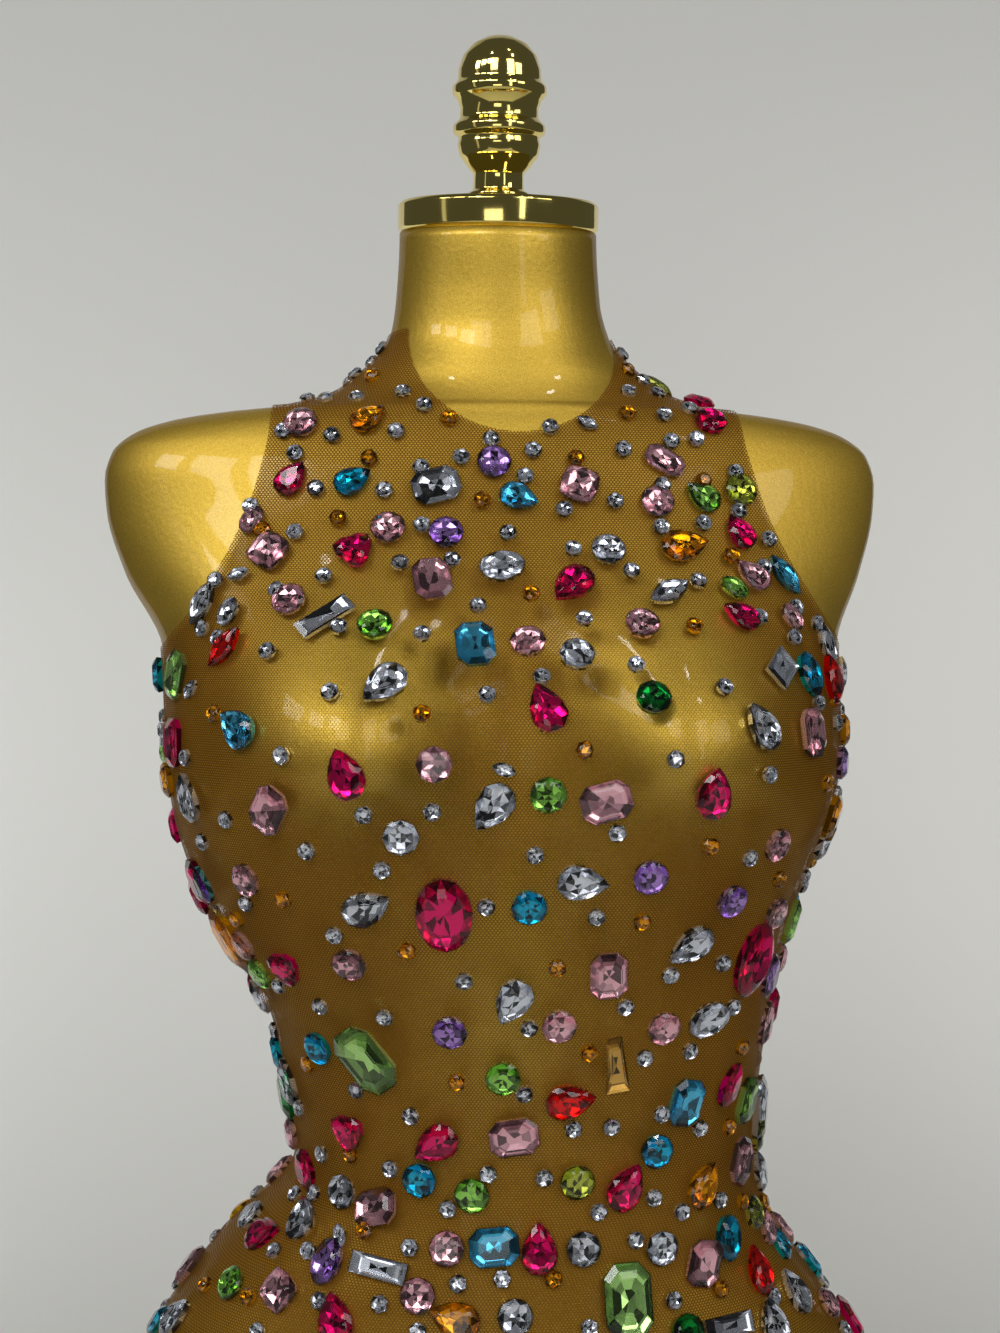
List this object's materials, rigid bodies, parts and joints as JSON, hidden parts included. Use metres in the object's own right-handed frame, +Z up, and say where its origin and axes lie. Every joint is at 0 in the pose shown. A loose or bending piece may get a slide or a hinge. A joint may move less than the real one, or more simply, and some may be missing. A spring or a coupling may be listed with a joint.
{
  "type": "rhinestone mesh bodysuit on a dress form",
  "caption": "Sleeveless high-neck stretch-mesh bodysuit set all over with large cut stones, worn by a limbless gold dress form with a neck disc and a turned finial.",
  "frame": {"origin": "on the surface that the form stands on, under the middle of the part's box", "axes": "+Z up, the front of the garment faces -Y, +X to the right as seen from in front"},
  "size_m": [0.3635, 0.254, 0.8364],
  "materials": {
    "form_paint": "satin gold pearl paint with a fine orange-peel texture",
    "gold_plate": "polished greenish-gold plating",
    "mesh": "tan hexagonal power mesh, matt, half see-through",
    "stone_clear": "foil-backed cut stone, clear",
    "stone_pink": "foil-backed cut stone, pale pink",
    "stone_fuchsia": "foil-backed cut stone, fuchsia",
    "stone_purple": "foil-backed cut stone, purple",
    "stone_teal": "foil-backed cut stone, teal",
    "stone_aqua": "foil-backed cut stone, aqua",
    "stone_green": "foil-backed cut stone, green",
    "stone_lime": "foil-backed cut stone, lime",
    "stone_amber": "foil-backed cut stone, amber",
    "stone_red": "foil-backed cut stone, red",
    "thread": "tan sewing thread"
  },
  "bodies": {
    "root": {"form": "form_paint", "neck_cap": "gold_plate", "finial": "gold_plate", "front": "mesh", "back_left": "mesh", "back_right": "mesh", "gusset": "mesh", "nape_button": "stone_clear"}
  },
  "joints": []
}
